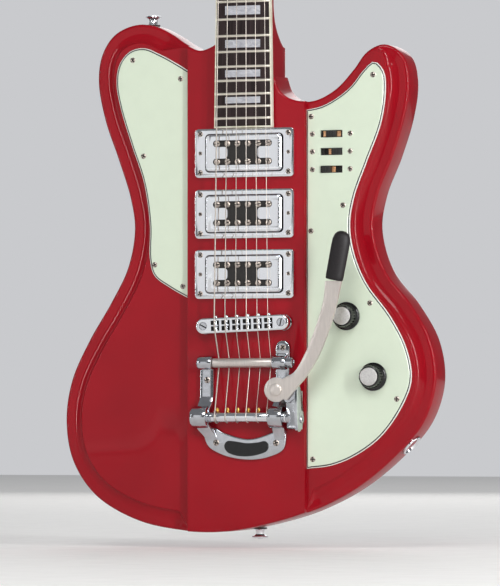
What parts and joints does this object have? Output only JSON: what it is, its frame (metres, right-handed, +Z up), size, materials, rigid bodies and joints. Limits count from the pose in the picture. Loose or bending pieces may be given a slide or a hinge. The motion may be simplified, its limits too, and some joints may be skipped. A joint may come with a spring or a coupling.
{
  "type": "electric guitar",
  "caption": "Solid-body electric guitar with a raised centre block, carved wings, ringed pickups, post-mounted bridge, stop-bar vibrato with a swing arm, and a long slim neck.",
  "frame": {"origin": "centre of the nut's board-side edge, level with the front face of the body's centre block, where a wall hanger holds the neck", "axes": "+X towards the treble side, +Z up the neck towards the headstock, front of the guitar facing -Y"},
  "size_m": [0.3496, 0.0903, 1.0068],
  "materials": {
    "red_lacquer": "gloss",
    "rosewood": "satin",
    "nut_bone": "satin",
    "mint_guard": "gloss",
    "chrome": "polished",
    "satin_steel": "satin",
    "string_steel": "satin",
    "black_plastic": "gloss",
    "coil_black": "matt"
  },
  "bodies": {
    "body": {"body_center_block": "red_lacquer", "body_bass_wing": "red_lacquer", "body_treble_wing": "red_lacquer", "neck": "red_lacquer", "fingerboard": "rosewood", "nut": "nut_bone", "truss_rod": "satin_steel", "truss_rod_cover": "black_plastic", "pickguard_bass": "mint_guard", "pickguard_treble": "mint_guard", "pickup_ring_neck": "chrome", "pickup_cover_neck": "chrome", "pickup_coils_neck": "coil_black", "pickup_ring_middle": "chrome", "pickup_cover_middle": "chrome", "pickup_coils_middle": "coil_black", "pickup_ring_bridge": "chrome", "pickup_cover_bridge": "chrome", "pickup_coils_bridge": "coil_black", "bridge_body": "chrome", "bridge_post_bass": "chrome", "bridge_post_treble": "chrome", "vibrato_base": "chrome", "vibrato_spring": "satin_steel", "string_1": "string_steel", "string_2": "string_steel", "string_3": "string_steel", "string_4": "string_steel", "string_5": "string_steel", "string_6": "string_steel", "tuner_plate_bass": "chrome", "tuner_plate_treble": "chrome", "pot_volume": "satin_steel", "pot_tone": "satin_steel", "output_jack": "chrome", "strap_button_horn": "chrome", "strap_button_end": "chrome"},
    "vibrato_rocker": {"vibrato_shaft": "chrome", "vibrato_arm_bracket": "chrome"},
    "arm": {"vibrato_arm": "satin_steel", "vibrato_arm_bolt": "satin_steel", "vibrato_arm_grip": "black_plastic"},
    "tension_roller": {"vibrato_tension_bar": "chrome"},
    "volume": {"knob_volume": "black_plastic"},
    "tone": {"knob_tone": "black_plastic"},
    "switch_1": {"switch_slider_1": "black_plastic"},
    "switch_2": {"switch_slider_2": "black_plastic"},
    "switch_3": {"switch_slider_3": "black_plastic"},
    "post_1": {"tuner_post_1": "chrome"},
    "post_2": {"tuner_post_2": "chrome"},
    "post_3": {"tuner_post_3": "chrome"},
    "post_4": {"tuner_post_4": "chrome"},
    "post_5": {"tuner_post_5": "chrome"},
    "post_6": {"tuner_post_6": "chrome"},
    "button_1": {"tuner_button_1": "chrome"},
    "button_2": {"tuner_button_2": "chrome"},
    "button_3": {"tuner_button_3": "chrome"},
    "button_4": {"tuner_button_4": "chrome"},
    "button_5": {"tuner_button_5": "chrome"},
    "button_6": {"tuner_button_6": "chrome"}
  },
  "joints": [
    {"name": "vibrato_rock", "type": "hinge", "parent": "body", "child": "vibrato_rocker", "pos_m": [0, -0.009, -0.717], "axis": [1, 0, 0], "range_deg": [-8, 4], "stiffness_Nm_per_rad": 8},
    {"name": "arm_swivel", "type": "hinge", "parent": "vibrato_rocker", "child": "arm", "pos_m": [0.0365, -0.02, -0.693], "axis": [0, 1, 0], "range_deg": [-15, 100]},
    {"name": "tension_roll", "type": "hinge", "parent": "body", "child": "tension_roller", "pos_m": [0, -0.0066, -0.669], "axis": [1, 0, 0], "continuous": true},
    {"name": "volume_turn", "type": "hinge", "parent": "body", "child": "volume", "pos_m": [0.0929, -0.003, -0.6282], "axis": [0, 1, 0], "range_deg": [-150, 150]},
    {"name": "tone_turn", "type": "hinge", "parent": "body", "child": "tone", "pos_m": [0.1179, -0.003, -0.6816], "axis": [0, 1, 0], "range_deg": [-150, 150]},
    {"name": "switch_1_slide", "type": "slide", "parent": "body", "child": "switch_1", "axis": [1, 0, 0], "range_m": [-0.005, 0.005]},
    {"name": "switch_2_slide", "type": "slide", "parent": "body", "child": "switch_2", "axis": [1, 0, 0], "range_m": [-0.01, 0]},
    {"name": "switch_3_slide", "type": "slide", "parent": "body", "child": "switch_3", "axis": [1, 0, 0], "range_m": [0, 0.01]},
    {"name": "post_1_turn", "type": "hinge", "parent": "body", "child": "post_1", "pos_m": [0.025, 0.00796, 0.04575], "axis": [0, 0.9703, -0.2419], "continuous": true},
    {"name": "post_2_turn", "type": "hinge", "parent": "body", "child": "post_2", "pos_m": [0.025, 0.0174, 0.08359], "axis": [0, 0.9703, -0.2419], "continuous": true},
    {"name": "post_3_turn", "type": "hinge", "parent": "body", "child": "post_3", "pos_m": [0.025, 0.02683, 0.12144], "axis": [0, 0.9703, -0.2419], "continuous": true},
    {"name": "post_4_turn", "type": "hinge", "parent": "body", "child": "post_4", "pos_m": [-0.025, 0.02683, 0.12144], "axis": [0, 0.9703, -0.2419], "continuous": true},
    {"name": "post_5_turn", "type": "hinge", "parent": "body", "child": "post_5", "pos_m": [-0.025, 0.0174, 0.08359], "axis": [0, 0.9703, -0.2419], "continuous": true},
    {"name": "post_6_turn", "type": "hinge", "parent": "body", "child": "post_6", "pos_m": [-0.025, 0.00796, 0.04575], "axis": [0, 0.9703, -0.2419], "continuous": true},
    {"name": "button_1_turn", "type": "hinge", "parent": "body", "child": "button_1", "pos_m": [0.053, 0.02834, 0.04067], "axis": [1, 0, 0], "continuous": true},
    {"name": "button_2_turn", "type": "hinge", "parent": "body", "child": "button_2", "pos_m": [0.053, 0.03777, 0.07851], "axis": [1, 0, 0], "continuous": true},
    {"name": "button_3_turn", "type": "hinge", "parent": "body", "child": "button_3", "pos_m": [0.053, 0.04721, 0.11636], "axis": [1, 0, 0], "continuous": true},
    {"name": "button_4_turn", "type": "hinge", "parent": "body", "child": "button_4", "pos_m": [-0.053, 0.04721, 0.11636], "axis": [1, 0, 0], "continuous": true},
    {"name": "button_5_turn", "type": "hinge", "parent": "body", "child": "button_5", "pos_m": [-0.053, 0.03777, 0.07851], "axis": [1, 0, 0], "continuous": true},
    {"name": "button_6_turn", "type": "hinge", "parent": "body", "child": "button_6", "pos_m": [-0.053, 0.02834, 0.04067], "axis": [1, 0, 0], "continuous": true}
  ],
  "couplings": [
    {"joint": "post_1_turn", "follows": "button_1_turn", "ratio": 0.071429},
    {"joint": "post_2_turn", "follows": "button_2_turn", "ratio": 0.071429},
    {"joint": "post_3_turn", "follows": "button_3_turn", "ratio": 0.071429},
    {"joint": "post_4_turn", "follows": "button_4_turn", "ratio": -0.071429},
    {"joint": "post_5_turn", "follows": "button_5_turn", "ratio": -0.071429},
    {"joint": "post_6_turn", "follows": "button_6_turn", "ratio": -0.071429}
  ]
}
